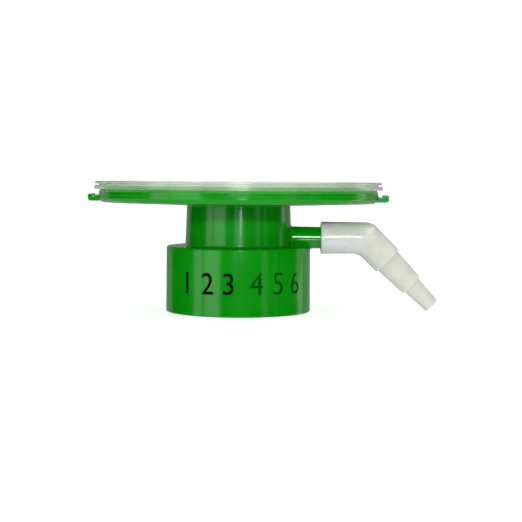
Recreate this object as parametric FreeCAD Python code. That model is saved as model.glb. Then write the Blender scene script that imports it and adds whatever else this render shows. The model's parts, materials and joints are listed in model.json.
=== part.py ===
import FreeCAD, Part
import math
import os

# Vacuum filtration unit for a GL45 bottle: a moulded body with a 90 mm dish on a hollow
# neck, a screw collar below, a vacuum stub on the side, a clear ring that clamps the
# membrane, a bottle gasket and a 45 degree hose elbow that swivels on the stub.
# Millimetres. Origin: centre of the collar's open end. +Z up, +X along the vacuum stub.

V = FreeCAD.Vector
X_AXIS = V(1, 0, 0)
Y_AXIS = V(0, 1, 0)
Z_AXIS = V(0, 0, 1)
ORIGIN = V(0, 0, 0)

# Bottle collar
neck_finish_diameter = 45.0     # outside of the bottle's GL45 thread
thread_gap = 0.6                # radial room round the bottle's thread, to the collar's wall
collar_wall = 2.6
collar_height = 23.3
collar_roof = 2.5
collar_draft_deg = 0.25
collar_mouth_bevel = 0.5
collar_foot_bevel = 0.3
shoulder_round = 0.6

# Gasket under the collar's roof, kept in by a shallow undercut
gasket_thickness = 1.5
gasket_undercut = 0.3           # into the collar's wall
gasket_gap = 0.2                # to the undercut's wall
gasket_inset = 0.6              # past the neck's inner wall

# Neck between collar and dish
neck_foot_radius = 18.95
neck_taper = 0.55               # the neck narrows this much towards the dish
neck_wall = 2.3
neck_fillet = 0.8

# Dish, rim and membrane seat
membrane_radius = 45.0
membrane_thickness = 0.15
seat_width = 1.8                # membrane held between ring and seat
weld_land = 3.2                 # ring of seat outside the membrane
rim_wall = 1.3
rim_above_collar = 15.4
rim_height = 4.65
rim_top_bevel = 0.4
rim_band_height = 2.5
rim_band_step = 0.3             # the lower band stands this far outside the rim
rim_bottom_round = 2.2
seat_above_rim_bottom = 2.6
dish_slope_deg = 1.8
dish_floor = 1.8
weld_tongue_width = 0.5         # on the rim's inner edge, stands in the ring's weld slot
weld_tongue_height = 1.0

# Membrane support: radial ribs with a level top. Each tier doubles their number
rib_width = 1.0
rib_rooting = 0.4               # how far the ribs run into the floor
ribs_in_first_tier = 12
rib_tier_starts = (6.0, 13.0, 24.0)

# Drip spout inside the neck
spout_bore_radius = 4.5
spout_tip_wall = 1.4
spout_root_wall = 2.2
spout_end_above_roof = 0.5      # the spout ends inside the neck, clear of the bottle's mouth

# Hook lugs on the rim
lug_reach = 3.6
lug_above_rim_bottom = 0.35
lug_thickness = 1.65
lug_tip_width = 1.5
lug_tip_height = 0.8
lug_span_deg = 12.0
lug_round = 0.35
lug_stop_width = 1.3            # low stop at the root of the lug opposite the stub
lug_stop_height = 0.5
lug_stop_round = 0.2

# Clear clamp ring
ring_gap = 0.1                  # to the rim's inner wall and round its tongue
ring_lip_overhang = 1.6         # lower lip past the rim
ring_lip_height = 1.25
ring_groove_depth = 1.5
ring_groove_height = 0.6
ring_top_lip_height = 0.8
ring_top_lip_inset = 0.3        # top lip inside the lower lip
ring_mouth_past_membrane = 0.4
ring_toe_height = 1.1
ring_toe_slope = 1.4
ring_bevel = 0.25

# Vacuum stub
stub_axis_above_collar = 3.0
stub_root_draft = 0.15
stub_tip_radius = 3.8
stub_bore_radius = 2.3
stub_tip_bevel = 0.4
stub_in_socket = 9.5

# Hose elbow
swivel_gap = 0.05               # radial, socket on stub
socket_from_collar = 3.6        # mouth to the collar's side
socket_depth = 10.2
socket_length = 15.9            # mouth to the bend's centre
socket_wall = 1.93              # at the mouth
socket_taper = 0.13             # from the mouth to the bend
socket_mouth_bevel = 0.4
elbow_bore_radius = 2.0
elbow_bend_deg = 45.0
bend_inner_radius = 5.6
bend_sections = 9

# Hose leg: ends are distances from the bend's centre
hose_step_1_end = 11.4
hose_step_1_bevel = 0.4
hose_step_2_radius = 4.75
hose_step_2_land_end = 15.0
hose_step_2_tip_radius = 4.25
hose_step_2_end = 23.6
hose_step_2_bevel = 0.5
hose_step_3_radius = 3.45
hose_tip_radius = 2.85
hose_tip_round = 0.5
hose_leg_length = 34.0

# Sizes that follow from the ones above
collar_bore_radius = neck_finish_diameter / 2 + thread_gap
collar_radius = collar_bore_radius + collar_wall
collar_top_radius = collar_radius - collar_height * math.tan(math.radians(collar_draft_deg))
roof_z = collar_height - collar_roof
gasket_z = roof_z - gasket_thickness
undercut_radius = collar_bore_radius + gasket_undercut
spout_end_z = roof_z + spout_end_above_roof
neck_top_radius = neck_foot_radius - neck_taper
neck_bore_foot = neck_foot_radius - neck_wall
neck_bore_top = neck_top_radius - neck_wall
rim_bottom_z = collar_height + rim_above_collar
rim_inner_radius = membrane_radius + weld_land
rim_radius = rim_inner_radius + rim_wall
band_radius = rim_radius + rim_band_step
band_top_z = rim_bottom_z + rim_band_height
rim_top_z = rim_bottom_z + rim_height
tongue_radius = rim_inner_radius + weld_tongue_width
tongue_top_z = rim_top_z + weld_tongue_height
seat_z = rim_bottom_z + seat_above_rim_bottom
seat_inner_radius = membrane_radius - seat_width
ring_mouth_radius = membrane_radius + ring_mouth_past_membrane
lug_tip_radius = band_radius + lug_reach
lug_bottom_z = rim_bottom_z + lug_above_rim_bottom
lug_tongue_z = lug_bottom_z + lug_thickness
lug_top_z = lug_tongue_z + lug_tip_height
stub_axis_z = collar_height + stub_axis_above_collar
socket_bore_radius = stub_tip_radius + swivel_gap
stub_root_radius = socket_bore_radius + stub_root_draft
socket_mouth_radius = socket_bore_radius + socket_wall
elbow_radius = socket_mouth_radius - socket_taper
socket_mouth_x = collar_radius + socket_from_collar
stub_end_x = socket_mouth_x + stub_in_socket
bend_x = socket_mouth_x + socket_length


def underside_z(radius):
    """Height of the dish's underside: a shallow cone that falls towards the middle."""
    return rim_bottom_z - (band_radius - radius) * math.tan(math.radians(dish_slope_deg))


def floor_z(radius):
    """Height of the dish's floor, parallel to its underside."""
    return underside_z(radius) + dish_floor


def section(points, origin=ORIGIN, axis=Z_AXIS, side=X_AXIS):
    """Face from (radius, height) corners, measured along side and axis from origin.

    A third number rounds its corner with an arc of that radius, tangent to both sides.
    """
    corners = [origin + side * point[0] + axis * point[1] for point in points]
    edges, starts, ends = [], [], []
    for index, corner in enumerate(corners):
        back = (corners[index - 1] - corner).normalize()
        ahead = (corners[(index + 1) % len(corners)] - corner).normalize()
        half_angle = back.getAngle(ahead) / 2
        radius = points[index][2] if len(points[index]) > 2 else 0
        run = radius / math.tan(half_angle)
        starts.append(corner + back * run)
        ends.append(corner + ahead * run)
        if radius:
            inwards = (back + ahead).normalize()
            middle = corner + inwards * (radius / math.sin(half_angle) - radius)
            edges.append(Part.Arc(starts[-1], middle, ends[-1]).toShape())
    for index, start in enumerate(starts):
        edges.append(Part.makeLine(ends[index - 1], start))
    return Part.Face(Part.Wire(Part.__sortEdges__(edges)))


def turned(points, origin=ORIGIN, axis=Z_AXIS, side=Y_AXIS):
    """Solid of revolution about axis, from the same kind of corners as section."""
    return section(points, origin, axis, side).revolve(origin, axis, 360)


def make_moulded_shell():
    """Drip spout, neck, collar, dish and rim, turned in one section."""
    spout_root_radius = spout_bore_radius + spout_root_wall
    return turned([
        (spout_bore_radius, spout_end_z),
        (spout_bore_radius + spout_tip_wall, spout_end_z),
        (spout_root_radius, underside_z(spout_root_radius)),
        (neck_bore_top, underside_z(neck_bore_top)),
        (neck_bore_foot, roof_z),
        (undercut_radius, roof_z),
        (undercut_radius, gasket_z),
        (collar_bore_radius, gasket_z),
        (collar_bore_radius, collar_mouth_bevel),
        (collar_bore_radius + collar_mouth_bevel, 0),
        (collar_radius - collar_foot_bevel, 0),
        (collar_radius, collar_foot_bevel),
        (collar_top_radius, collar_height, shoulder_round),
        (neck_foot_radius, collar_height, neck_fillet),
        (neck_top_radius, underside_z(neck_top_radius), neck_fillet),
        (band_radius, rim_bottom_z, rim_bottom_round),
        (band_radius, band_top_z),
        (rim_radius, band_top_z),
        (rim_radius, rim_top_z - rim_top_bevel),
        (rim_radius - rim_top_bevel, rim_top_z),
        (tongue_radius, rim_top_z),
        (tongue_radius, tongue_top_z),
        (rim_inner_radius, tongue_top_z),
        (rim_inner_radius, seat_z),
        (seat_inner_radius, seat_z),
        (seat_inner_radius, floor_z(seat_inner_radius)),
        (spout_bore_radius, floor_z(spout_bore_radius)),
    ])


def make_support_ribs():
    """Radial ribs that hold the membrane level and let filtrate run down between them."""
    ribs = []
    for start in rib_tier_starts:
        count = len(ribs) or ribs_in_first_tier
        first_turn = 180 / count if ribs else 0
        end = seat_inner_radius + rib_rooting
        side = section([
            (start, floor_z(start) - rib_rooting),
            (end, floor_z(end) - rib_rooting),
            (end, seat_z),
            (start, seat_z),
        ])
        side.translate(Y_AXIS * (-rib_width / 2))
        for index in range(count):
            rib = side.extrude(Y_AXIS * rib_width)
            rib.rotate(ORIGIN, Z_AXIS, first_turn + 360 * index / count)
            ribs.append(rib)
    return ribs


def make_lug(turn_deg, has_stop):
    """Hook lug on the rim: a curved tongue with an upturned tip, centred at turn_deg from +X."""
    root = rim_inner_radius
    tip_start = lug_tip_radius - lug_tip_width
    points = [
        (root, lug_bottom_z),
        (lug_tip_radius, lug_bottom_z, lug_round),
        (lug_tip_radius, lug_top_z, lug_round),
        (tip_start, lug_top_z, lug_round),
        (tip_start, lug_tongue_z, lug_round),
    ]
    if has_stop:
        stop_end = band_radius + lug_stop_width
        stop_z = lug_tongue_z + lug_stop_height
        points += [
            (stop_end, lug_tongue_z, lug_stop_round),
            (stop_end, stop_z, lug_stop_round),
            (root, stop_z),
        ]
    else:
        points += [(root, lug_tongue_z)]
    hook = section(points)
    hook.rotate(ORIGIN, Z_AXIS, turn_deg - lug_span_deg / 2)
    return hook.revolve(ORIGIN, Z_AXIS, lug_span_deg)


def make_stub():
    """Vacuum stub, solid: a drafted root and a plain end for the elbow's socket."""
    start = neck_foot_radius - neck_wall / 2
    taper_end = socket_mouth_x - swivel_gap - start
    end = stub_end_x - start
    return turned([
        (0, 0),
        (stub_root_radius, 0),
        (socket_bore_radius, taper_end),
        (stub_tip_radius, taper_end),
        (stub_tip_radius, end - stub_tip_bevel),
        (stub_tip_radius - stub_tip_bevel, end),
        (0, end),
    ], V(start, 0, stub_axis_z), X_AXIS, Z_AXIS)


def make_filter_body():
    pieces = [make_stub(), make_lug(0, False), make_lug(180, True)] + make_support_ribs()
    body = make_moulded_shell().multiFuse(pieces)
    inside_neck = (spout_bore_radius + spout_root_wall + neck_bore_foot) / 2
    stub_bore = Part.makeCylinder(
        stub_bore_radius, stub_end_x - inside_neck + 1,
        V(inside_neck, 0, stub_axis_z), X_AXIS,
    )
    return body.cut(stub_bore).removeSplitter()


def make_clamp_ring():
    """Clear ring: its toe clamps the membrane, a slot takes the tongue, two lips stand outside."""
    toe_z = seat_z + membrane_thickness
    toe_top = toe_z + ring_toe_height
    plug_radius = rim_inner_radius - ring_gap
    slot_radius = tongue_radius + ring_gap
    slot_top = tongue_top_z + ring_gap
    lip_radius = rim_radius + ring_lip_overhang
    lip_top = rim_top_z + ring_lip_height
    groove_radius = lip_radius - ring_groove_depth
    groove_top = lip_top + ring_groove_height
    top_radius = lip_radius - ring_top_lip_inset
    top_z = groove_top + ring_top_lip_height
    return turned([
        (seat_inner_radius, toe_z),
        (membrane_radius, toe_z),
        (membrane_radius, seat_z),
        (plug_radius, seat_z),
        (plug_radius, slot_top),
        (slot_radius, slot_top),
        (slot_radius, rim_top_z),
        (lip_radius, rim_top_z),
        (lip_radius, lip_top - ring_bevel),
        (lip_radius - ring_bevel, lip_top),
        (groove_radius, lip_top),
        (groove_radius, groove_top),
        (top_radius, groove_top),
        (top_radius, top_z - ring_bevel),
        (top_radius - ring_bevel, top_z),
        (ring_mouth_radius + ring_bevel, top_z),
        (ring_mouth_radius, top_z - ring_bevel),
        (ring_mouth_radius, toe_top + ring_toe_slope),
        (seat_inner_radius, toe_top),
    ])


def make_membrane():
    return Part.makeCylinder(membrane_radius, membrane_thickness, V(0, 0, seat_z))


def make_gasket():
    bottom = V(0, 0, gasket_z)
    washer = Part.makeCylinder(undercut_radius - gasket_gap, gasket_thickness, bottom)
    return washer.cut(Part.makeCylinder(neck_bore_foot + gasket_inset, gasket_thickness, bottom))


def make_bend(centre):
    """Outside of the bend, lofted through ellipses that stand round the inner fillet's axis.

    Each ellipse reaches from the fillet to the outer side, which is two straight lines
    joined by a circle of the tube's own radius about the centre.
    """
    half_turn = math.radians(elbow_bend_deg) / 2
    pivot_reach = (bend_inner_radius + elbow_radius) / math.cos(half_turn)
    pivot = centre - V(math.sin(half_turn), 0, math.cos(half_turn)) * pivot_reach
    line_reach = bend_inner_radius + 2 * elbow_radius
    line_angle = math.atan2(pivot_reach * math.sin(half_turn), line_reach)
    ellipses = []
    for index in range(bend_sections):
        turn = 2 * half_turn * index / (bend_sections - 1)
        off_middle = turn - half_turn
        to_tangent = half_turn - abs(off_middle)
        if to_tangent <= line_angle:
            outer = line_reach / math.cos(to_tangent)
        else:
            miss = pivot_reach * math.sin(off_middle)
            outer = pivot_reach * math.cos(off_middle) + math.sqrt(elbow_radius ** 2 - miss ** 2)
        away = V(math.sin(turn), 0, math.cos(turn))
        half_height = max((outer - bend_inner_radius) / 2, elbow_radius)
        middle = pivot + away * (bend_inner_radius + half_height)
        upright = FreeCAD.Rotation(away, Y_AXIS, away.cross(Y_AXIS), "XYZ")
        ellipse = Part.Ellipse(ORIGIN, half_height, elbow_radius).toShape()
        ellipse.Placement = FreeCAD.Placement(middle, upright)
        ellipses.append(Part.Wire(ellipse))
    return Part.makeLoft(ellipses, True)


def make_hose_elbow():
    """Socket, bend and stepped hose leg, with one bore right through."""
    bend = math.radians(elbow_bend_deg)
    centre = V(bend_x, 0, stub_axis_z)
    mouth = V(socket_mouth_x, 0, stub_axis_z)
    leg_axis = V(math.cos(bend), 0, -math.sin(bend))
    leg_side = V(math.sin(bend), 0, math.cos(bend))
    bend_run = (bend_inner_radius + elbow_radius) * math.tan(bend / 2)
    socket = turned([
        (0, 0),
        (socket_mouth_radius - socket_mouth_bevel, 0),
        (socket_mouth_radius, socket_mouth_bevel),
        (elbow_radius, socket_length - bend_run),
        (0, socket_length - bend_run),
    ], mouth, X_AXIS, Z_AXIS)
    leg = turned([
        (0, bend_run),
        (elbow_radius, bend_run),
        (elbow_radius, hose_step_1_end - hose_step_1_bevel),
        (elbow_radius - hose_step_1_bevel, hose_step_1_end),
        (hose_step_2_radius, hose_step_1_end),
        (hose_step_2_radius, hose_step_2_land_end),
        (hose_step_2_tip_radius, hose_step_2_end - hose_step_2_bevel),
        (hose_step_2_tip_radius - hose_step_2_bevel, hose_step_2_end),
        (hose_step_3_radius, hose_step_2_end),
        (hose_tip_radius, hose_leg_length, hose_tip_round),
        (0, hose_leg_length),
    ], centre, leg_axis, leg_side)
    elbow = socket.multiFuse([make_bend(centre), leg])
    bores = [
        Part.makeCylinder(socket_bore_radius, socket_depth, mouth, X_AXIS),
        Part.makeCylinder(elbow_bore_radius, socket_length, mouth, X_AXIS),
        Part.makeSphere(elbow_bore_radius, centre),
        Part.makeCylinder(elbow_bore_radius, hose_leg_length + 1, centre, leg_axis),
    ]
    return elbow.cut(bores)


makers = {
    "filter_body": make_filter_body,
    "clamp_ring": make_clamp_ring,
    "membrane": make_membrane,
    "bottle_gasket": make_gasket,
    "hose_elbow": make_hose_elbow,
}
os.makedirs("parts", exist_ok=True)
for name, make in makers.items():
    shape = make()
    print(name, len(shape.Solids), "solid", round(shape.Volume, 1), "mm3", shape.isValid())
    shape.exportStep(f"parts/{name}.step")
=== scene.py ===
import json
import math

import bmesh
import bpy
import numpy as np
from mathutils import Matrix, Vector


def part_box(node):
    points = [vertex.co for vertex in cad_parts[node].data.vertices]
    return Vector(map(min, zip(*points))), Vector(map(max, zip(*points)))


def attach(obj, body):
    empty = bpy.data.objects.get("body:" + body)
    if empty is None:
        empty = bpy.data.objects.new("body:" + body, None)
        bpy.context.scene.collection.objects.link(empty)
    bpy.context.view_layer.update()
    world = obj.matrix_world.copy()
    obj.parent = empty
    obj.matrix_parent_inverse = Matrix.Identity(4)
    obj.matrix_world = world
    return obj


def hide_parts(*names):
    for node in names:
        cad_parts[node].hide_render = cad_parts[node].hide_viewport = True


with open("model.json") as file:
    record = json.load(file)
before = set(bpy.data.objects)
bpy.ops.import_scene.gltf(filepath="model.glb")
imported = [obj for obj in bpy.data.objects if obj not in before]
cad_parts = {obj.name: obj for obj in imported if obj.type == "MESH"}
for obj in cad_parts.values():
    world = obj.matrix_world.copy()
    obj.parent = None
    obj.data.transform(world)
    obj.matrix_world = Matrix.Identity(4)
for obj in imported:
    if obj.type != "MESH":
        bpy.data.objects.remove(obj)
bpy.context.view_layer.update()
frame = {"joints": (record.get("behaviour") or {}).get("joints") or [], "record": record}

# ------------------------------------------------------------------------------------
# Moulded body: dish, rim, hollow neck, bottle collar and drip spout in one piece.
# Green ABS, injection-moulded. Every wall is turned about the upright axis, and the
# mould leaves a small round on each corner, which is what catches the light.
# ------------------------------------------------------------------------------------


def in_mm(corner):
    """A corner from the frame, which is in metres, in millimetres."""
    return np.array(corner) * 1000


body_low, body_high = (in_mm(corner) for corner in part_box("filter_body"))
seat_low, seat_high = (in_mm(corner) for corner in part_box("membrane"))
gasket_low, gasket_high = (in_mm(corner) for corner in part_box("bottle_gasket"))
bottle_thread = next(m for m in frame["record"]["mounts"] if m["name"] == "bottle_thread")

collar_wall, collar_roof, collar_draft = 2.6, 2.5, 0.1
shoulder_round = 0.8
neck_foot, neck_top = 18.95, 18.4
neck_wall, neck_fillet = 2.3, 0.8
gasket_gap = 0.2                # from the gasket to the undercut's wall
spout_bore, spout_tip, spout_root = 4.5, 5.9, 6.7
spout_end_gap = 0.5             # the spout ends this far above the collar's roof
rim_wall, rim_height = 1.3, 4.65
band_step, band_height = 0.3, 2.5
rim_bevel_height, rim_bevel_width = 0.95, 0.55
rim_bottom_round = 2.2
tongue_width, tongue_height = 0.5, 1.0
seat_width = 1.8
dish_slope = math.tan(math.radians(1.8))
dish_floor = 1.8

collar_bore = bottle_thread["dims"]["r_mm"]
collar_foot_radius = collar_bore + collar_wall
collar_top_radius = collar_foot_radius - collar_draft
collar_top = gasket_high[2] + collar_roof
undercut_radius = gasket_high[1] + gasket_gap
spout_end = gasket_high[2] + spout_end_gap
band_radius = body_high[1]
rim_radius = band_radius - band_step
rim_inner = rim_radius - rim_wall
tongue_top = body_high[2]
tongue_radius = rim_inner + tongue_width
rim_top = tongue_top - tongue_height
rim_bottom = rim_top - rim_height
band_top = rim_bottom + band_height
seat_z = seat_low[2]
seat_inner = seat_high[1] - seat_width


def underside(radius):
    """Height of the dish's underside at a radius: a cone that falls towards the neck."""
    return rim_bottom - (band_radius - radius) * dish_slope


def rounded(corners, steps=6):
    """Closed outline from (across, up, radius of its round) corners.

    Each corner becomes an arc tangent to both of its sides. A point on each side, a
    little past the arc, keeps the flat beside it flat when it is shaded.
    """
    corners = np.array(corners, float)
    points, radius = corners[:, :2], corners[:, 2:]
    back = np.roll(points, 1, axis=0) - points
    ahead = np.roll(points, -1, axis=0) - points
    back /= np.linalg.norm(back, axis=1, keepdims=True)
    ahead /= np.linalg.norm(ahead, axis=1, keepdims=True)
    half = np.arccos(np.clip((back * ahead).sum(axis=1, keepdims=True), -1, 1)) / 2
    run = radius / np.tan(half)
    middle = (back + ahead) / np.linalg.norm(back + ahead, axis=1, keepdims=True)
    centre = points + middle * radius / np.sin(half)
    first, last = points + back * run - centre, points + ahead * run - centre
    start = np.arctan2(first[:, 1:], first[:, :1])
    turn = np.arctan2(last[:, 1:], last[:, :1]) - start
    turn = (turn + np.pi) % (2 * np.pi) - np.pi
    angle = start + turn * np.linspace(0, 1, steps + 1)
    arc = centre[:, None] + radius[:, None] * np.stack([np.cos(angle), np.sin(angle)], axis=-1)
    before = points + back * (run + 0.1 * radius)
    after = points + ahead * (run + 0.1 * radius)
    return np.concatenate([before[:, None], arc, after[:, None]], axis=1).reshape(-1, 2)


def turned(outline, angle):
    """Grid of an outline carried round the upright axis: x = r cos a, y = r sin a."""
    radius, height = outline.T
    angle = angle[:, None]
    return np.stack([radius * np.cos(angle), radius * np.sin(angle), height + 0 * angle], axis=-1)


def full_turn(segments):
    """Evenly spaced angles round one turn, the last a step short of the first."""
    return np.linspace(0, 2 * np.pi, segments, endpoint=False)


def make_piece(name, grids, finish, body, capped=False):
    """Mesh object from grids of points in millimetres, joined up in both directions.

    When capped, the rows aren't joined up, and the first and last are closed by a face each.
    """
    points, faces, count = [], [], 0
    for grid in grids:
        rows, columns = grid.shape[:2]
        index = count + np.arange(rows * columns).reshape(rows, columns)
        count += rows * columns
        if capped:
            faces += [index[0].tolist(), index[-1].tolist()]
        else:
            index = np.vstack([index, index[:1]])
        index = np.hstack([index, index[:, :1]])
        quads = np.stack([index[:-1, :-1], index[:-1, 1:], index[1:, 1:], index[1:, :-1]], axis=-1)
        faces += quads.reshape(-1, 4).tolist()
        points.append(grid.reshape(-1, 3))
    mesh = bpy.data.meshes.new(name)
    mesh.from_pydata(np.concatenate(points) / 1000, [], faces)
    return finish_piece(bpy.data.objects.new(name, mesh), finish, body)


merge_within = 1e-7             # metres
sharp_beyond = math.radians(38)


def finish_piece(piece, finish, body):
    """Merges doubled points, turns faces outwards, shades smooth but for sharp edges, rides."""
    built = bmesh.new()
    built.from_mesh(piece.data)
    bmesh.ops.remove_doubles(built, verts=built.verts, dist=merge_within)
    bmesh.ops.recalc_face_normals(built, faces=built.faces)
    built.to_mesh(piece.data)
    built.free()
    piece.data.shade_smooth()
    piece.data.set_sharp_from_angle(angle=sharp_beyond)
    piece.data.materials.clear()
    piece.data.materials.append(finish)
    bpy.context.scene.collection.objects.link(piece)
    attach(piece, body)
    return piece


def linear(colour):
    """Linear RGBA from an sRGB hex colour.

    Dark values are divided by 12.92, and the others are ((v + 0.055) / 1.055) to the 2.4.
    """
    parts = np.array([int(colour[i:i + 2], 16) for i in (1, 3, 5)]) / 255
    parts = np.where(parts <= 0.04045, parts / 12.92, ((parts + 0.055) / 1.055) ** 2.4)
    return (*parts.tolist(), 1.0)


def add_node(tree, kind, inputs, stops=(), **settings):
    """Adds a node. Each input is a value, or the output socket that feeds it.

    Stops are a colour ramp's (position, hex colour) pairs, from its start to its end.
    """
    node = tree.nodes.new(kind)
    for name, value in settings.items():
        setattr(node, name, value)
    for name, value in inputs.items():
        if isinstance(value, bpy.types.NodeSocket):
            tree.links.new(value, node.inputs[name])
        else:
            node.inputs[name].default_value = value
    for _ in stops[2:]:
        node.color_ramp.elements.new(0.5)
    if stops:
        for element, (position, colour) in zip(node.color_ramp.elements, stops):
            element.position = position
            element.color = linear(colour)
    return node


def new_material(name):
    """Empty node material, its tree and its output node."""
    material = bpy.data.materials.new(name)
    material.use_nodes = True
    material.node_tree.nodes.clear()
    return material, material.node_tree, material.node_tree.nodes.new("ShaderNodeOutputMaterial")


# Injection-moulded ABS: a polished steel mould gives a high gloss. The melt leaves faint
# flow clouds about 14 mm across and an orange-peel skin about 1.5 mm across.
green_abs, tree, output = new_material("green_ABS_injection_moulded")
place = add_node(tree, "ShaderNodeTexCoord", {}).outputs["Object"]
clouds = add_node(tree, "ShaderNodeTexNoise", {"Vector": place, "Scale": 1 / 0.014, "Detail": 2.0})
peel = add_node(tree, "ShaderNodeTexNoise", {"Vector": place, "Scale": 1 / 0.0015, "Detail": 1.0})
skin = add_node(tree, "ShaderNodeBump", {
    "Height": peel.outputs["Fac"], "Strength": 0.05, "Distance": 0.00002})
gloss = add_node(tree, "ShaderNodeMapRange", {
    "Value": clouds.outputs["Fac"], "From Min": 0.3, "From Max": 0.7, "To Min": 0.15, "To Max": 0.18})
green = add_node(tree, "ShaderNodeValToRGB", {"Fac": clouds.outputs["Fac"]},
                 stops=[(0.3, "#008a04"), (0.7, "#019206")])
surface = add_node(tree, "ShaderNodeBsdfPrincipled", {
    "Base Color": green.outputs["Color"],
    "Roughness": gloss.outputs["Result"], "Normal": skin.outputs["Normal"], "IOR": 1.53})
tree.links.new(surface.outputs["BSDF"], output.inputs["Surface"])

body_outline = rounded([
    (spout_bore, spout_end, 0.3),
    (spout_tip, spout_end, 0.5),
    (spout_root, underside(spout_root), 0.8),
    (neck_top - neck_wall, underside(neck_top - neck_wall), 0.8),
    (neck_foot - neck_wall, gasket_high[2], 0.3),
    (undercut_radius, gasket_high[2], 0.1),
    (undercut_radius, gasket_low[2], 0.1),
    (collar_bore, gasket_low[2], 0.1),
    (collar_bore, 0, 0.5),
    (collar_foot_radius, 0, 0.45),
    (collar_top_radius, collar_top, shoulder_round),
    (neck_foot, collar_top, neck_fillet),
    (neck_top, underside(neck_top), 0.25),
    (band_radius, rim_bottom, rim_bottom_round),
    (band_radius, band_top, 0.12),
    (rim_radius, band_top, 0.1),
    (rim_radius, rim_top - rim_bevel_height, 0.12),
    (rim_radius - rim_bevel_width, rim_top, 0.12),
    (tongue_radius, rim_top, 0.05),
    (tongue_radius, tongue_top, 0.12),
    (rim_inner, tongue_top, 0.12),
    (rim_inner, seat_z, 0.15),
    (seat_inner, seat_z, 0.2),
    (seat_inner, underside(seat_inner) + dish_floor, 0.5),
    (spout_bore, underside(spout_bore) + dish_floor, 0.5),
])
moulded_body = make_piece("moulded_body", [turned(body_outline, full_turn(192))], green_abs, "filter")
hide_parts("filter_body")

# ------------------------------------------------------------------------------------
# Vacuum stub: the hollow spigot that the hose elbow turns on. It is part of the green
# moulding, so a fillet runs it into the neck, over the collar's shoulder and down its side.
# ------------------------------------------------------------------------------------
elbow_low, elbow_high = (in_mm(corner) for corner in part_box("hose_elbow"))
swivel = next(j for j in frame["joints"] if j["name"] == "elbow_swivel")
stub_z = swivel["pos_m"][2] * 1000
socket_end_gap, stub_grip = 0.05, 9.5
stub_root_x = neck_foot - neck_wall / 2
stub_step_x = elbow_low[0] - socket_end_gap
stub_end_x = elbow_low[0] + stub_grip
stub_root_radius, stub_step_radius, stub_radius, stub_bore = 4.0, 3.85, 3.8, 2.3
stub_fillet, stub_tip_bevel = 0.8, 0.4

# The stub and the lugs are formed by polished inserts, so their gloss is sharp and even.
polished_abs = green_abs.copy()
polished_abs.name = "green_ABS_polished_core"
polished_skin = next(n for n in polished_abs.node_tree.nodes if n.type == "BSDF_PRINCIPLED")
polished_abs.node_tree.links.remove(polished_skin.inputs["Roughness"].links[0])
polished_skin.inputs["Roughness"].default_value = 0.11


def rounded_union(a, b, radius):
    """Distance to two joined solids, with a fillet of that radius where they meet.

    a and b are the distances to the two. Within the radius of both, the fillet's own
    circle takes over: radius less the length of (radius - a, radius - b).
    """
    inside = np.hypot(np.maximum(radius - a, 0), np.maximum(radius - b, 0))
    return np.maximum(radius, np.minimum(a, b)) - inside


def distance_to_body(x, y, z):
    """Distance to the neck's cone and the collar's shouldered cylinder."""
    out = np.hypot(x, y)
    rise = (z - collar_top) / (underside(neck_top) - collar_top)
    neck = out - (neck_foot + (neck_top - neck_foot) * rise)
    past_side = out - collar_top_radius + shoulder_round
    past_top = z - collar_top + shoulder_round
    collar = np.hypot(np.maximum(past_side, 0), np.maximum(past_top, 0)) - shoulder_round
    collar += np.minimum(np.maximum(past_side, past_top), 0)
    return rounded_union(neck, collar, neck_fillet)


fillet_reach, halvings, touch = 2.1, 24, 1e-7


def stub_surface(x, angle):
    """Radius about the stub's axis at which the filleted union of stub and body ends.

    The ray from the axis is halved between the stub's own wall and the fillet's far reach
    until the point is found. Inside the body the far reach is kept, under the skin.
    """
    slope = (stub_root_radius - stub_step_radius) / (stub_step_x - stub_root_x)
    near = stub_root_radius - slope * (x - stub_root_x) + 0 * angle
    wall, end = near.copy(), near + fillet_reach * stub_fillet
    for _ in range(halvings):
        middle = (near + end) / 2
        body = distance_to_body(x + 0 * angle, middle * np.sin(angle), stub_z + middle * np.cos(angle))
        outside = rounded_union(middle - wall, body, stub_fillet) > touch
        near, end = np.where(outside, near, middle), np.where(outside, middle, end)
    return end


def tube(stations, angle):
    """Grid of rings about the stub's axis, one for each (x, radius) station."""
    x = np.array([s[0] for s in stations])[:, None] + 0 * angle
    radius = np.array([np.broadcast_to(s[1], angle.shape) for s in stations])
    return np.stack([x, radius * np.sin(angle), stub_z + radius * np.cos(angle)], axis=-1)


# Rings stand close together where the fillet runs, and far apart on the plain stub.
round_stub = full_turn(144)
root_stations = np.concatenate([
    np.linspace(stub_root_x, collar_top_radius + 2, 70),
    np.linspace(collar_top_radius + 2.3, stub_step_x, 4)])
stub_stations = [(x, stub_surface(x, round_stub)) for x in root_stations]
stub_stations += [
    (stub_step_x, stub_radius),
    (stub_end_x - stub_tip_bevel, stub_radius),
    (stub_end_x, stub_radius - stub_tip_bevel),
    (stub_end_x, stub_bore),
    (stub_root_x, stub_bore),
]
vacuum_stub = make_piece("vacuum_stub", [tube(stub_stations, round_stub)], polished_abs, "filter")

# The stub's bore runs on through the neck's wall into the neck. The drill starts inside the
# neck and stops just under its skin, where the stub covers the hole.
drill_start, drill_end, drill_sides = neck_foot - neck_wall - 1, neck_foot - 0.2, 48
drill_mesh = bpy.data.meshes.new("stub_drill")
drill_points = tube([(drill_start, stub_bore), (drill_end, stub_bore)], full_turn(drill_sides))
near_ring, far_ring = np.arange(2 * drill_sides).reshape(2, drill_sides)
drill_quads = np.stack([near_ring, np.roll(near_ring, -1), np.roll(far_ring, -1), far_ring], axis=-1)
drill_mesh.from_pydata(drill_points.reshape(-1, 3) / 1000, [],
                       [near_ring.tolist(), far_ring.tolist(), *drill_quads.tolist()])
drill_built = bmesh.new()
drill_built.from_mesh(drill_mesh)
bmesh.ops.recalc_face_normals(drill_built, faces=drill_built.faces)
drill_built.to_mesh(drill_mesh)
drill_built.free()
drill = bpy.data.objects.new("stub_drill", drill_mesh)
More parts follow.
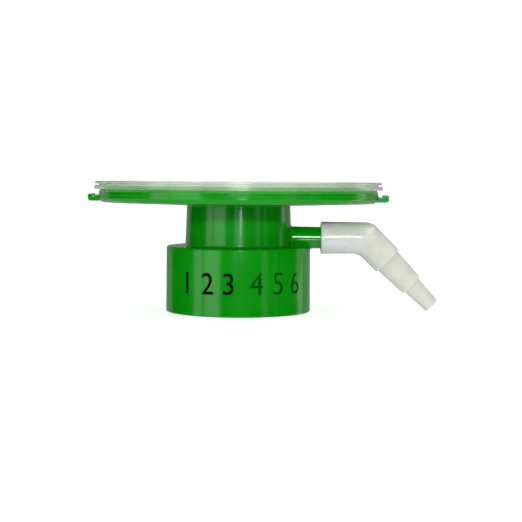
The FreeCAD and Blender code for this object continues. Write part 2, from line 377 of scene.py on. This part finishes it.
bpy.context.scene.collection.objects.link(drill)
cut = moulded_body.modifiers.new("stub_bore", "BOOLEAN")
cut.operation, cut.solver, cut.object = "DIFFERENCE", "EXACT", drill
bpy.context.view_layer.update()
drilled = bpy.data.meshes.new_from_object(moulded_body.evaluated_get(
    bpy.context.evaluated_depsgraph_get()))
moulded_body.modifiers.clear()
moulded_body.data = drilled
bpy.data.objects.remove(drill)

# ------------------------------------------------------------------------------------
# Support ribs: 48 radial walls on the dish's floor, in the same green moulding. Their
# level tops carry the membrane, and their number doubles twice towards the rim.
# ------------------------------------------------------------------------------------
rib_width, rib_round, rib_rooting = 1.0, 0.1, 0.4
rib_count, rib_tier_starts = 12, (6.0, 13.0, 24.0)
rib_end = seat_inner + rib_rooting
ribs = []
for tier, rib_start in enumerate(rib_tier_starts):
    out = np.array([[rib_start], [rib_end]])
    foot = underside(out) + dish_floor - rib_rooting
    across, share = rounded([
        (-rib_width / 2, 0, rib_round), (rib_width / 2, 0, rib_round),
        (rib_width / 2, 1, rib_round), (-rib_width / 2, 1, rib_round)], steps=2).T
    up = foot + (seat_z - foot) * share
    tier_count = rib_count * 2 ** max(tier - 1, 0)
    half_step = 0.5 if tier else 0.0
    for rib in range(tier_count):
        turn = 2 * np.pi * (rib + half_step) / tier_count
        ribs.append(np.stack([
            out * np.cos(turn) - across * np.sin(turn),
            out * np.sin(turn) + across * np.cos(turn),
            up], axis=-1))
support_ribs = make_piece("support_ribs", ribs, green_abs, "filter", capped=True)

# ------------------------------------------------------------------------------------
# Hook lugs: two curved tongues on the rim with upturned tips, which hold a cover or a
# spring band. Moulded with the body. The lug opposite the stub has a low stop at its root.
# ------------------------------------------------------------------------------------
lug_lift, lug_thickness = 0.35, 1.65
lug_tip_width, lug_tip_height = 1.5, 0.8
lug_stop_width, lug_stop_height = 1.3, 0.48
lug_heel_round, lug_round, lug_root_round, lug_end_round = 1.0, 0.35, 0.2, 0.18
lug_half_span = math.radians(6)
lug_root, lug_tip = rim_inner + 0.1, -body_low[0]
lug_foot = rim_bottom + lug_lift
lug_tongue = lug_foot + lug_thickness
lug_top = lug_tongue + lug_tip_height
lug_hook = [
    (lug_root, lug_foot, lug_root_round),
    (lug_tip, lug_foot, lug_heel_round),
    (lug_tip, lug_top, lug_round),
    (lug_tip - lug_tip_width, lug_top, lug_round),
    (lug_tip - lug_tip_width, lug_tongue, lug_round),
]
lug_stop = [
    (band_radius + lug_stop_width, lug_tongue, lug_root_round),
    (band_radius + lug_stop_width, lug_tongue + lug_stop_height, lug_root_round),
    (lug_root, lug_tongue + lug_stop_height, lug_root_round),
]


def make_lug(corners, middle_turn):
    """Grid of a lug: its outline carried along an arc, drawn in towards each end face.

    At arc length s from an end the outline moves inwards by e less the height of a
    circle of radius e, so that the end face has a round of that radius. One more outline,
    a little further in, keeps the end face flat when it is shaded.
    """
    outline = rounded(corners)
    keep = np.linalg.norm(outline - np.roll(outline, 1, axis=0), axis=1) > 1e-6
    outline = outline[keep]
    along = np.roll(outline, -1, axis=0) - np.roll(outline, 1, axis=0)
    inwards = np.stack([-along[:, 1], along[:, 0]], axis=-1)
    inwards /= np.linalg.norm(inwards, axis=1, keepdims=True)
    ease = np.linspace(0, np.pi / 2, 5)
    inset = np.append(1.4 * lug_end_round, lug_end_round * (1 - np.sin(ease)))
    from_end = np.append(0, lug_end_round * (1 - np.cos(ease))) / lug_tip
    inset = np.concatenate([inset, [0], inset[::-1]])
    angle = np.concatenate([from_end - lug_half_span, [0], (lug_half_span - from_end)[::-1]])
    drawn = outline + inwards * inset[:, None, None]
    angle = (middle_turn + angle)[:, None]
    radius, height = drawn[..., 0], drawn[..., 1]
    return np.stack([radius * np.cos(angle), radius * np.sin(angle), height], axis=-1)


plain_lug = make_lug(lug_hook + [(lug_root, lug_tongue, lug_root_round)], 0.0)
stopped_lug = make_lug(lug_hook + lug_stop, math.pi)
hook_lugs = make_piece("hook_lugs", [plain_lug, stopped_lug], polished_abs, "filter", capped=True)

# ------------------------------------------------------------------------------------
# Bottle thread: one ridge of a little over two turns inside the collar, right-handed,
# 4 mm to a turn, moulded with the body. It fits the round thread of a GL45 bottle.
# ------------------------------------------------------------------------------------
thread_pitch, thread_turns, thread_foot = 4.0, 2.2, 4.6
thread_depth, thread_sunk = 1.4, 0.1
thread_root_half, thread_crest_half = 1.55, 0.45
thread_start = 0.6              # angle at which the ridge starts, in radians
thread_root = collar_bore + thread_sunk
thread_crest = collar_bore - thread_depth
thread_sides = rounded([
    (thread_root, -thread_root_half, 0.1),
    (thread_root, thread_root_half, 0.1),
    (thread_crest, thread_crest_half, 0.4),
    (thread_crest, -thread_crest_half, 0.4),
], steps=5)


def thread_grid(turns, segments):
    """Grid of the thread's ridge: its section carried up a helix, z = foot + pitch x turns.

    Over the first and last sixth of a turn the section grows by a smooth step, from a
    fiftieth of its depth and three tenths of its height, so that the ridge ends in slopes.
    """
    along = np.linspace(0, turns, segments)[:, None]
    edge = np.clip(np.minimum(along, turns - along) * 6, 0, 1)
    rise = edge * edge * (3 - 2 * edge)
    out, up = thread_sides.T
    radius = thread_root - (thread_root - out) * (0.02 + 0.98 * rise)
    height = thread_foot + thread_pitch * along + up * (0.3 + 0.7 * rise)
    angle = 2 * np.pi * along + thread_start
    return np.stack([radius * np.cos(angle), radius * np.sin(angle), height], axis=-1)


bottle_ridge = make_piece("bottle_thread_ridge", [thread_grid(thread_turns, 260)], green_abs,
                          "filter", capped=True)

# ------------------------------------------------------------------------------------
# Gasket: a flat washer of pale silicone rubber, moulded, pushed up under the collar's
# roof and held in by the undercut. The bottle's rim seals against it.
# ------------------------------------------------------------------------------------
# Moulded silicone: soft satin, a little light passes into it, fine dust marks 0.6 mm apart.
silicone, tree, output = new_material("pale_silicone_moulded")
place = add_node(tree, "ShaderNodeTexCoord", {}).outputs["Object"]
marks = add_node(tree, "ShaderNodeTexNoise", {"Vector": place, "Scale": 1 / 0.0006, "Detail": 3.0})
satin = add_node(tree, "ShaderNodeMapRange", {
    "Value": marks.outputs["Fac"], "To Min": 0.45, "To Max": 0.62})
pale = add_node(tree, "ShaderNodeValToRGB", {"Fac": marks.outputs["Fac"]},
                stops=[(0.3, "#d9d8d2"), (0.7, "#e6e5e0")])
surface = add_node(tree, "ShaderNodeBsdfPrincipled", {
    "Base Color": pale.outputs["Color"],
    "Roughness": satin.outputs["Result"], "IOR": 1.41, "Subsurface Weight": 0.2,
    "Subsurface Scale": 0.001, "Subsurface Radius": (1.0, 1.0, 0.9)})
tree.links.new(surface.outputs["BSDF"], output.inputs["Surface"])

gasket_inset, roof_gap = 0.6, 0.01
gasket_bore = neck_foot - neck_wall + gasket_inset
gasket_outline = rounded([
    (gasket_bore, gasket_low[2], 0.25),
    (gasket_high[1], gasket_low[2], 0.25),
    (gasket_high[1], gasket_high[2] - roof_gap, 0.15),
    (gasket_bore, gasket_high[2] - roof_gap, 0.15),
], steps=4)
gasket = make_piece("silicone_gasket", [turned(gasket_outline, full_turn(128))], silicone, "filter")
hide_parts("bottle_gasket")

# ------------------------------------------------------------------------------------
# Membrane: a 90 mm disc of porous polyethersulfone film, cast and cut, which lies on the
# ribs with its edge held by the ring. It dips a little between the ribs.
# ------------------------------------------------------------------------------------
# Cast PES film: dead matt white with a faint fibrous mottle about 3 mm across.
pes_film, tree, output = new_material("polyethersulfone_membrane_cast")
place = add_node(tree, "ShaderNodeTexCoord", {}).outputs["Object"]
mottle = add_node(tree, "ShaderNodeTexNoise", {"Vector": place, "Scale": 1 / 0.003, "Detail": 4.0})
pores = add_node(tree, "ShaderNodeTexNoise", {"Vector": place, "Scale": 1 / 0.0003, "Detail": 2.0})
grain = add_node(tree, "ShaderNodeBump", {
    "Height": pores.outputs["Fac"], "Strength": 0.3, "Distance": 0.00002})
white = add_node(tree, "ShaderNodeValToRGB", {"Fac": mottle.outputs["Fac"]},
                 stops=[(0.3, "#eeeeea"), (0.7, "#f5f5f2")])
surface = add_node(tree, "ShaderNodeBsdfPrincipled", {
    "Base Color": white.outputs["Color"],
    "Roughness": 0.85, "IOR": 1.5, "Specular IOR Level": 0.25, "Normal": grain.outputs["Normal"]})
tree.links.new(surface.outputs["BSDF"], output.inputs["Surface"])

film_lift = 0.01                # the film's underside stays clear of the seat by this much
film_radius, film_top, film_bottom = seat_high[1], seat_high[2], seat_z + film_lift
film_dip, film_edge_round, film_edge_slope = 0.11, 0.03, 0.05
film_sides = 384
second_tier, third_tier = rib_tier_starts[1] + 1, rib_tier_starts[2] + 1
film_radii = np.concatenate([np.linspace(0.01, 6, 4), np.linspace(7, 43, 30), [43.2, 44, 44.9]])


def film_sag(radius, angle):
    """How far the film hangs between ribs: dip x sin squared of (rib count x angle / 2).

    The count is that of the tier at this radius. The dip fades to nothing at the seat, near
    the middle and, over 2 mm, where a new tier of ribs starts.
    """
    tier = np.where(radius < second_tier, 0, np.where(radius < third_tier, 1, 2))
    near_start = np.clip(np.minimum(abs(radius - second_tier), abs(radius - third_tier)) / 2, 0, 1)
    near_seat = np.clip((seat_inner - radius) / 2.5, 0, 1)
    near_middle = np.clip((radius - 4) / 4, 0, 1)
    dip = film_dip / np.sqrt(2.0 ** tier) * near_start * near_seat * near_middle
    return dip * np.sin(rib_count * 2 ** tier * angle / 2) ** 2


def film_side(radii, height, angle):
    """Grid of one side of the film: level at that height, less the sag at each radius."""
    side = turned(np.stack([radii, height + 0 * radii], axis=-1), angle)
    side[..., 2] -= film_sag(radii, angle[:, None])
    return side


film_angle = full_turn(film_sides)
film_edge = turned(np.array([
    [film_radius, film_top - film_edge_round],
    [film_radius, seat_z + film_edge_round],
    [film_radius - film_edge_slope, film_bottom]]), film_angle)
film_grid = np.concatenate([
    np.broadcast_to([0, 0, film_top], (film_sides, 1, 3)),
    film_side(film_radii, film_top, film_angle),
    film_edge,
    film_side(film_radii[::-2], film_bottom, film_angle),
    np.broadcast_to([0, 0, film_bottom], (film_sides, 1, 3))], axis=1)
membrane = make_piece("filter_membrane", [film_grid], pes_film, "filter")
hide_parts("membrane")

# ------------------------------------------------------------------------------------
# Clamp ring: clear polystyrene, injection-moulded, pressed into the rim and welded there.
# Its toe holds the membrane down, a slot takes the rim's tongue, and two lips stand outside.
# ------------------------------------------------------------------------------------
# Clear moulded polystyrene: it bends light strongly, its skin is a little soft from the
# mould, and flow marks about 6 mm apart ripple it. Lamps reach through it to what is behind.
clear_styrene, tree, output = new_material("clear_polystyrene_injection_moulded")
place = add_node(tree, "ShaderNodeTexCoord", {}).outputs["Object"]
flow = add_node(tree, "ShaderNodeTexNoise", {"Vector": place, "Scale": 1 / 0.006, "Detail": 2.0})
ripple = add_node(tree, "ShaderNodeBump", {
    "Height": flow.outputs["Fac"], "Strength": 0.04, "Distance": 0.0001})
haze = add_node(tree, "ShaderNodeMapRange", {
    "Value": flow.outputs["Fac"], "From Min": 0.3, "From Max": 0.7, "To Min": 0.13, "To Max": 0.2})
glass = add_node(tree, "ShaderNodeBsdfPrincipled", {
    "Base Color": linear("#d9e6d3"), "Roughness": haze.outputs["Result"],
    "Normal": ripple.outputs["Normal"], "IOR": 1.59, "Transmission Weight": 0.88})
open_way = add_node(tree, "ShaderNodeBsdfTransparent", {"Color": (0.98, 0.99, 0.985, 1)})
ray = add_node(tree, "ShaderNodeLightPath", {})
surface = glass.outputs["BSDF"]
for straight_ray in ("Is Diffuse Ray", "Is Shadow Ray"):
    surface = add_node(tree, "ShaderNodeMixShader", {
        0: ray.outputs[straight_ray], 1: surface, 2: open_way.outputs["BSDF"]}).outputs["Shader"]
tree.links.new(surface, output.inputs["Surface"])

ring_low, ring_high = (in_mm(corner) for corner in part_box("clamp_ring"))
weld_sink, ring_gap, film_room = 0.02, 0.1, 0.05
lip_height, lip_groove_depth, lip_groove_height, top_lip_inset = 1.25, 1.5, 0.6, 0.3
toe_height, toe_slope_height, mouth_gap = 1.1, 2.5, 0.4
ring_lip = min(-ring_low[1], ring_high[1])
ring_lip_top = rim_top + lip_height
ring_groove = ring_lip_top + lip_groove_height
ring_mouth = film_radius + mouth_gap
ring_outline = rounded([
    (seat_inner, film_top - weld_sink, 0.15),
    (film_radius + film_room, film_top - weld_sink, 0.05),
    (film_radius + film_room, seat_z - weld_sink, 0.05),
    (rim_inner - ring_gap, seat_z - weld_sink, 0.2),
    (rim_inner - ring_gap, tongue_top + ring_gap, 0.05),
    (tongue_radius + ring_gap, tongue_top + ring_gap, 0.05),
    (tongue_radius + ring_gap, rim_top - weld_sink, 0.03),
    (ring_lip, rim_top - weld_sink, 0.15),
    (ring_lip, ring_lip_top, 0.3),
    (ring_lip - lip_groove_depth, ring_lip_top, 0.15),
    (ring_lip - lip_groove_depth, ring_groove, 0.15),
    (ring_lip - top_lip_inset, ring_groove, 0.15),
    (ring_lip - top_lip_inset, ring_high[2], 0.3),
    (ring_mouth, ring_high[2], 0.3),
    (ring_mouth, film_top + toe_slope_height, 0.5),
    (seat_inner, film_top + toe_height, 0.3),
])
clamp_ring = make_piece("clear_clamp_ring", [turned(ring_outline, full_turn(256))], clear_styrene,
                        "filter")
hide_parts("clamp_ring")

# ------------------------------------------------------------------------------------
# Hose elbow: natural polyethylene, injection-moulded. A socket that turns on the stub, a
# 45 degree bend, and a stepped leg for vacuum tubing, with one bore right through.
# ------------------------------------------------------------------------------------
# Natural polyethylene: milky, satin, light soaks a few millimetres into it. The socket is a cooler grey
# than the leg: its end is painted lighter and less green, a painted lift against the shade and green
# bounce that fall on it under the dish, while the leg's warmer yellowish grey is the plastic's own. The
# skin has flow marks about 2.5 mm across.
natural_pe, tree, output = new_material("natural_polyethylene_injection_moulded")
place = add_node(tree, "ShaderNodeTexCoord", {}).outputs["Object"]
along_x = add_node(tree, "ShaderNodeSeparateXYZ", {"Vector": place}).outputs["X"]
from_mouth = add_node(tree, "ShaderNodeMapRange", {
    "Value": along_x, "From Min": elbow_low[0] / 1000, "From Max": elbow_high[0] / 1000})
milk = add_node(tree, "ShaderNodeTexNoise", {"Vector": place, "Scale": 1 / 0.004, "Detail": 3.0})
# Colour along the elbow: the socket end is painted lighter and less green against the shade and green
# bounce under the dish; the leg's warm grey is its own tone.
painted_lift_and_tone = add_node(tree, "ShaderNodeValToRGB", {"Fac": from_mouth.outputs["Result"]}, stops=[
    (0.0, "#e2e3e1"), (0.12, "#e6e5e6"), (0.4, "#e5e5de"), (1.0, "#dfe0d4")])
cloud = add_node(tree, "ShaderNodeValToRGB", {"Fac": milk.outputs["Fac"]},
                 stops=[(0.3, "#f2f2f2"), (0.7, "#ffffff")])
mixed = add_node(tree, "ShaderNodeMix", {
    "Factor": 1.0, "A": painted_lift_and_tone.outputs["Color"], "B": cloud.outputs["Color"]},
    data_type="RGBA", blend_type="MULTIPLY")
flow = add_node(tree, "ShaderNodeTexNoise", {"Vector": place, "Scale": 1 / 0.0025, "Detail": 2.0})
skin = add_node(tree, "ShaderNodeBump", {
    "Height": flow.outputs["Fac"], "Strength": 0.15, "Distance": 0.0001})
gloss = add_node(tree, "ShaderNodeMapRange", {
    "Value": milk.outputs["Fac"], "From Min": 0.3, "From Max": 0.7, "To Min": 0.14, "To Max": 0.18})
surface = add_node(tree, "ShaderNodeBsdfPrincipled", {
    "Base Color": mixed.outputs["Result"], "Roughness": gloss.outputs["Result"],
    "Normal": skin.outputs["Normal"], "IOR": 1.51, "Subsurface Weight": 1.0,
    "Subsurface Scale": 0.0025, "Subsurface Radius": (1.0, 1.0, 0.9)})
tree.links.new(surface.outputs["BSDF"], output.inputs["Surface"])

socket_length, socket_depth = 15.9, 10.2
socket_bore, socket_mouth, elbow_radius, elbow_bore = 3.85, 5.78, 5.65, 2.0
bend_inner, bend = 5.6, math.radians(45)
bend_run = (bend_inner + elbow_radius) * math.tan(bend / 2)
bend_start = socket_length - bend_run
bend_arc = (bend_inner + elbow_radius) * bend
bend_centre = np.array([elbow_low[0] + socket_length, 0, stub_z])
leg_start = bend_start + bend_arc - bend_run
pivot_reach = (bend_inner + elbow_radius) / math.cos(bend / 2)
bend_pivot = bend_centre - pivot_reach * np.array([math.sin(bend / 2), 0, math.cos(bend / 2)])

# The leg's steps, measured from the bend's centre: a wide step, a land, and a narrow step.
wide_step, land_end, narrow_step, leg_end = (leg_start + run for run in (11.4, 15.0, 23.6, 34.0))
land_radius, land_taper_radius, narrow_radius, tip_radius = 4.75, 4.25, 3.45, 2.85
elbow_outline = rounded([
    (0, socket_bore, 0.25),
    (0, socket_mouth, 0.4),
    (bend_start, elbow_radius, 0.5),
    (wide_step, elbow_radius, 0.6),
    (wide_step, land_radius, 0.4),
    (land_end, land_radius, 0.5),
    (narrow_step, land_taper_radius, 0.4),
    (narrow_step, narrow_radius, 0.35),
    (leg_end, tip_radius, 0.5),
    (leg_end, elbow_bore, 0.2),
    (socket_depth, elbow_bore, 0.2),
    (socket_depth, socket_bore, 0.2),
], steps=5)


def divided(outline, spacing):
    """The closed outline with even extra points, so that no side is longer than the spacing."""
    closed = np.vstack([outline, outline[:1]])
    length = np.concatenate([[0], np.cumsum(np.linalg.norm(np.diff(closed, axis=0), axis=1))])
    extra = np.arange(0, length[-1], spacing)
    at = np.unique(np.round(np.concatenate([length[:-1], extra]), 4))
    return np.stack([np.interp(at, length, closed[:, 0]), np.interp(at, length, closed[:, 1])], axis=-1)


def elbow_grid(outline, angle):
    """Grid of the elbow: (distance along, radius) points carried round its centre line.

    In the bend each ring stands in a plane through the inner fillet's pivot. It is an
    ellipse that reaches from the fillet to the outer side, which is two straight lines
    joined by a circle of the tube's own radius about the bend's centre.
    """
    along, radius = outline.T
    turn = np.clip((along - bend_start) / bend_arc, 0, 1) * bend
    off_middle = turn - bend / 2
    to_tangent = bend / 2 - abs(off_middle)
    line_reach = bend_inner + 2 * elbow_radius
    line_angle = math.atan2(pivot_reach * math.sin(bend / 2), line_reach)
    miss = np.clip(pivot_reach * np.sin(off_middle), -elbow_radius, elbow_radius)
    on_circle = pivot_reach * np.cos(off_middle) + np.sqrt(elbow_radius ** 2 - miss ** 2)
    reach = np.where(to_tangent <= line_angle, line_reach / np.cos(to_tangent), on_circle)
    half_height = np.maximum((reach - bend_inner) / 2, elbow_radius)
    away = np.stack([np.sin(turn), 0 * turn, np.cos(turn)], axis=-1)
    centre = bend_pivot + away * (bend_inner + half_height)[:, None]
    before = np.minimum(along - bend_start, 0)[:, None] * np.array([1, 0, 0])
    after = np.maximum(along - bend_start - bend_arc, 0)[:, None]
    centre = centre + before + after * np.array([math.cos(bend), 0, -math.sin(bend)])
    tall = (radius * half_height / elbow_radius)[:, None, None]
    side = np.array([0, 1, 0]) * np.sin(angle)[:, None] * radius[:, None, None]
    return centre[:, None] + away[:, None] * np.cos(angle)[:, None] * tall + side


elbow_rings = elbow_grid(divided(elbow_outline, 0.7), full_turn(80))
hose_elbow = make_piece("hose_elbow_moulded", [elbow_rings], natural_pe, "elbow")
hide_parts("hose_elbow")

# ------------------------------------------------------------------------------------
# Index digits: plain numbers 1 to 6 stamped round the collar's front in foil, in the place
# of the real unit's lettering. The foil of the last three is thinner and lets green through.
# ------------------------------------------------------------------------------------
# Hot-stamped foil: a thin matt layer of black pigment with a slightly worn, uneven cover.
inks = []
for name, dark, worn in (("black_foil_hot_stamped", "#020804", "#06160a"),
                         ("thin_black_foil_hot_stamped", "#02300a", "#03480c")):
    ink, tree, output = new_material(name)
    place = add_node(tree, "ShaderNodeTexCoord", {}).outputs["Object"]
    wear = add_node(tree, "ShaderNodeTexNoise", {"Vector": place, "Scale": 1 / 0.0009, "Detail": 3.0})
    black = add_node(tree, "ShaderNodeValToRGB", {"Fac": wear.outputs["Fac"]},
                     stops=[(0.35, dark), (0.75, worn)])
    surface = add_node(tree, "ShaderNodeBsdfPrincipled", {
        "Base Color": black.outputs["Color"],
        "Roughness": 0.5, "IOR": 1.5, "Specular IOR Level": 0.06})
    tree.links.new(surface.outputs["BSDF"], output.inputs["Surface"])
    inks.append(ink)

digit_height, digit_foot, digit_proud = 7.4, 7.7, 0.06
digit_squeeze = 0.95            # the digits are this much narrower than their font
digit_depth = 0.05              # tells face from back: the wrapping sets the real thickness
bold_stroke, thin_stroke = 0.004, -0.012
digit_slice = 0.06              # the faces are cut this often, in ems, to bend round the wall
digit_turns = np.radians([-42.0, -23.2, -6.5, 15.0, 33.0, 50.5])


def flat_digit(number, stroke):
    """Mesh of a digit in its own plane, an em high, cut into upright slices."""
    lettering = bpy.data.curves.new("digit", "FONT")
    lettering.body = str(number)
    lettering.align_x = "CENTER"
    lettering.extrude = digit_depth
    lettering.offset = stroke
    lettering.resolution_u = 6
    flat = bpy.data.objects.new("digit", lettering)
    bpy.context.scene.collection.objects.link(flat)
    bpy.context.view_layer.update()
    mesh = bpy.data.meshes.new_from_object(flat.evaluated_get(bpy.context.evaluated_depsgraph_get()))
    bpy.data.objects.remove(flat)
    bpy.data.curves.remove(lettering)
    built = bmesh.new()
    built.from_mesh(mesh)
    for slice_x in np.arange(-0.6, 0.6, digit_slice):
        bmesh.ops.bisect_plane(built, geom=built.verts[:] + built.edges[:] + built.faces[:],
                               plane_co=(slice_x, 0, 0), plane_no=(1, 0, 0), dist=1e-6)
    built.to_mesh(mesh)
    built.free()
    return mesh


def wrap_digit(mesh, turn):
    """Lays a flat digit round the collar: angle = turn + across / radius, about the axis.

    Its back sinks into the drafted wall as far as its face stands proud.
    """
    points = np.empty(len(mesh.vertices) * 3)
    mesh.vertices.foreach_get("co", points)
    points = points.reshape(-1, 3)
    scale = digit_height / np.ptp(points[:, 1])
    across = points[:, 0] * scale * digit_squeeze
    up = (points[:, 1] - points[:, 1].min()) * scale + digit_foot
    across -= (across.min() + across.max()) / 2
    wall = collar_foot_radius + (collar_top_radius - collar_foot_radius) * up / collar_top
    radius = wall + digit_proud * np.sign(points[:, 2])
    angle = turn + across / collar_foot_radius
    wrapped = np.stack([radius * np.sin(angle), -radius * np.cos(angle), up], axis=-1) / 1000
    mesh.vertices.foreach_set("co", wrapped.ravel())


for name, first, stroke, ink in (("index_digits_1_to_3", 1, bold_stroke, inks[0]),
                                 ("index_digits_4_to_6", 4, thin_stroke, inks[1])):
    joined = bmesh.new()
    for number in range(first, first + 3):
        digit = flat_digit(number, stroke)
        wrap_digit(digit, digit_turns[number - 1])
        joined.from_mesh(digit)
    mesh = bpy.data.meshes.new(name)
    joined.to_mesh(mesh)
    joined.free()
    finish_piece(bpy.data.objects.new(name, mesh), ink, "filter")

# ------------------------------------------------------------------------------------
# Studio: white paper floor and backdrop, soft lights, cards for the gloss, and the camera.
# ------------------------------------------------------------------------------------
world = bpy.data.worlds.new("studio_white")
bpy.context.scene.world = world
world.use_nodes = True
tree = world.node_tree
tree.nodes.clear()


def seen_or_lit(tree, seen, lit):
    """Strength: seen for camera, glossy and transmission rays, lit for all the others."""
    ray = add_node(tree, "ShaderNodeLightPath", {}).outputs
    sight = add_node(tree, "ShaderNodeMath", {0: ray["Is Camera Ray"], 1: ray["Is Glossy Ray"]},
                     operation="MAXIMUM").outputs[0]
    sight = add_node(tree, "ShaderNodeMath", {0: sight, 1: ray["Is Transmission Ray"]},
                     operation="MAXIMUM").outputs[0]
    return add_node(tree, "ShaderNodeMapRange", {
        "Value": sight, "To Min": lit, "To Max": seen}).outputs["Result"]


# The backdrop is plain white where it is seen, and lights the part at half of that.
backdrop = add_node(tree, "ShaderNodeBackground", {
    "Color": (1, 1, 1, 1), "Strength": seen_or_lit(tree, seen=1.0, lit=0.5)})
sky = tree.nodes.new("ShaderNodeOutputWorld")
tree.links.new(backdrop.outputs[0], sky.inputs["Surface"])


aim_height = 0.028


def facing_panel(name, azimuth, elevation, distance, width, height, radiance, tint="#ffffff", **rays):
    """Area light that faces the part. Azimuth 0 is in front, positive to the right.

    Angles are in degrees and lengths in metres. Its power is radiance x area x pi.
    """
    lamp = bpy.data.lights.new(name, "AREA")
    lamp.shape, lamp.size, lamp.size_y = "RECTANGLE", width, height
    lamp.energy = radiance * width * height * math.pi
    lamp.color = linear(tint)[:3]
    panel = bpy.data.objects.new(name, lamp)
    turn, rise = math.radians(azimuth), math.radians(elevation)
    away = Vector((math.sin(turn) * math.cos(rise), -math.cos(turn) * math.cos(rise), math.sin(rise)))
    panel.location = Vector((0, 0, aim_height)) + away * distance
    panel.rotation_euler = away.to_track_quat("Z", "Y").to_euler()
    panel.visible_camera = False
    for kind, shown in rays.items():
        setattr(panel, kind, shown)
    bpy.context.scene.collection.objects.link(panel)


facing_panel("front_lamp", 0, 11.3, 0.9, 0.045, 0.045, 540, visible_glossy=False)
facing_panel("front_fill", 15, -4, 1.2, 1.2, 0.7, 0.35, visible_glossy=False)
facing_panel("overhead_fill", 0, 90, 1.2, 1.0, 1.0, 0.8, visible_glossy=False)
facing_panel("front_glint", -4, 11, 0.9, 0.03, 0.06, 34, visible_diffuse=False)
facing_panel("front_strip", -4.5, 3.5, 0.9, 0.025, 0.2, 6, "#a0dcff", visible_diffuse=False)
facing_panel("stub_glint_above", 3.7, 10.8, 0.9, 0.05, 0.1, 34, visible_diffuse=False)
facing_panel("stub_glint_below", 3.7, -18, 0.9, 0.05, 0.1, 20, visible_diffuse=False)
facing_panel("elbow_glint", 5.9, 9, 0.9, 0.03, 0.2, 30, visible_diffuse=False)
facing_panel("top_softbox", 0, 90, 1.45, 3.0, 3.0, 2.6, visible_diffuse=False)
facing_panel("window_left_near", -40.5, 0, 1.0, 0.46, 1.4, 1.45, visible_diffuse=False)
facing_panel("window_left_far", -64.5, 0, 1.0, 0.27, 1.4, 1.3, visible_diffuse=False)
facing_panel("strip_right_wide", 43, 0, 1.0, 0.13, 1.4, 0.5, visible_diffuse=False)
facing_panel("strip_right_thin", 61, 0, 1.0, 0.02, 1.4, 1.0, visible_diffuse=False)
facing_panel("strip_right_far", 117, 0, 1.0, 0.26, 1.4, 1.1, visible_diffuse=False)

# Cards that only the gloss of the part sees: black in front, grey behind, pale below.
card_foot, card_top, card_radius, card_points = -0.4, 1.4, 1.5, 40
paper_reach, paper_drop = 3, 0.00005


def gloss_card(name, corners, glow):
    """Sheet between two equal rows of points, one after the other, which glows evenly."""
    count = len(corners) // 2
    row = np.arange(count - 1)
    quads = np.stack([row, row + 1, row + count + 1, row + count], axis=-1)
    mesh = bpy.data.meshes.new(name)
    mesh.from_pydata(corners, [], quads.tolist())
    card = bpy.data.objects.new(name, mesh)
    matt, tree, output = new_material("matt_" + name)
    glowing = add_node(tree, "ShaderNodeEmission", {"Color": (1, 1, 1, 1), "Strength": glow})
    tree.links.new(glowing.outputs[0], output.inputs["Surface"])
    mesh.materials.append(matt)
    bpy.context.scene.collection.objects.link(card)
    card.visible_camera = card.visible_diffuse = card.visible_transmission = card.visible_shadow = False


for name, first, last, glow in (("black_card", -128, 128, 0.002), ("grey_card", 128, 232, 0.32)):
    card_turn = np.radians(np.linspace(first, last, card_points))
    card_line = card_radius * np.stack([np.sin(card_turn), -np.cos(card_turn)], axis=-1)
    gloss_card(name, np.concatenate([np.column_stack([card_line, np.full(card_points, z)])
                                     for z in (card_foot, card_top)]), glow)
table_corners = [(x, y, card_foot) for y in (-paper_reach, paper_reach)
                 for x in (-paper_reach, paper_reach)]
gloss_card("pale_table_card", np.array(table_corners), 0.58)

floor_mesh = bpy.data.meshes.new("paper_floor")
floor_mesh.from_pydata([(x, y, 0) for y in (-paper_reach, paper_reach)
                        for x in (-paper_reach, paper_reach)], [], [(0, 1, 3, 2)])
floor = bpy.data.objects.new("paper_floor", floor_mesh)
floor.location.z = -paper_drop
floor.visible_glossy = False
# White paper: it glows up to the backdrop's white where it is seen, and keeps the shadow.
paper, tree, output = new_material("white_paper")
lit = add_node(tree, "ShaderNodeEmission", {
    "Color": (1, 1, 1, 1), "Strength": seen_or_lit(tree, seen=0.7, lit=0.3)})
plain = add_node(tree, "ShaderNodeBsdfDiffuse", {"Color": (0.7, 0.7, 0.7, 1)})
both = add_node(tree, "ShaderNodeAddShader", {0: lit.outputs[0], 1: plain.outputs[0]})
tree.links.new(both.outputs[0], output.inputs["Surface"])
floor_mesh.materials.append(paper)
bpy.context.scene.collection.objects.link(floor)

# Long lens, close to level with the rim, looking a little down.
camera_place = (0.0081, -0.464, 0.047)
camera_dip, camera_roll = math.radians(3.6), math.radians(0.4)
camera_data = bpy.data.cameras.new("camera")
camera_data.lens, camera_data.sensor_width = 89.66, 36
camera_data.clip_start, camera_data.clip_end = 0.01, 20
camera = bpy.data.objects.new("camera", camera_data)
camera.matrix_world = (Matrix.Translation(camera_place)
                       @ Matrix.Rotation(math.pi / 2 - camera_dip, 4, "X")
                       @ Matrix.Rotation(camera_roll, 4, "Z"))
bpy.context.scene.collection.objects.link(camera)
bpy.context.scene.camera = camera
bpy.context.scene.view_settings.view_transform = "Standard"
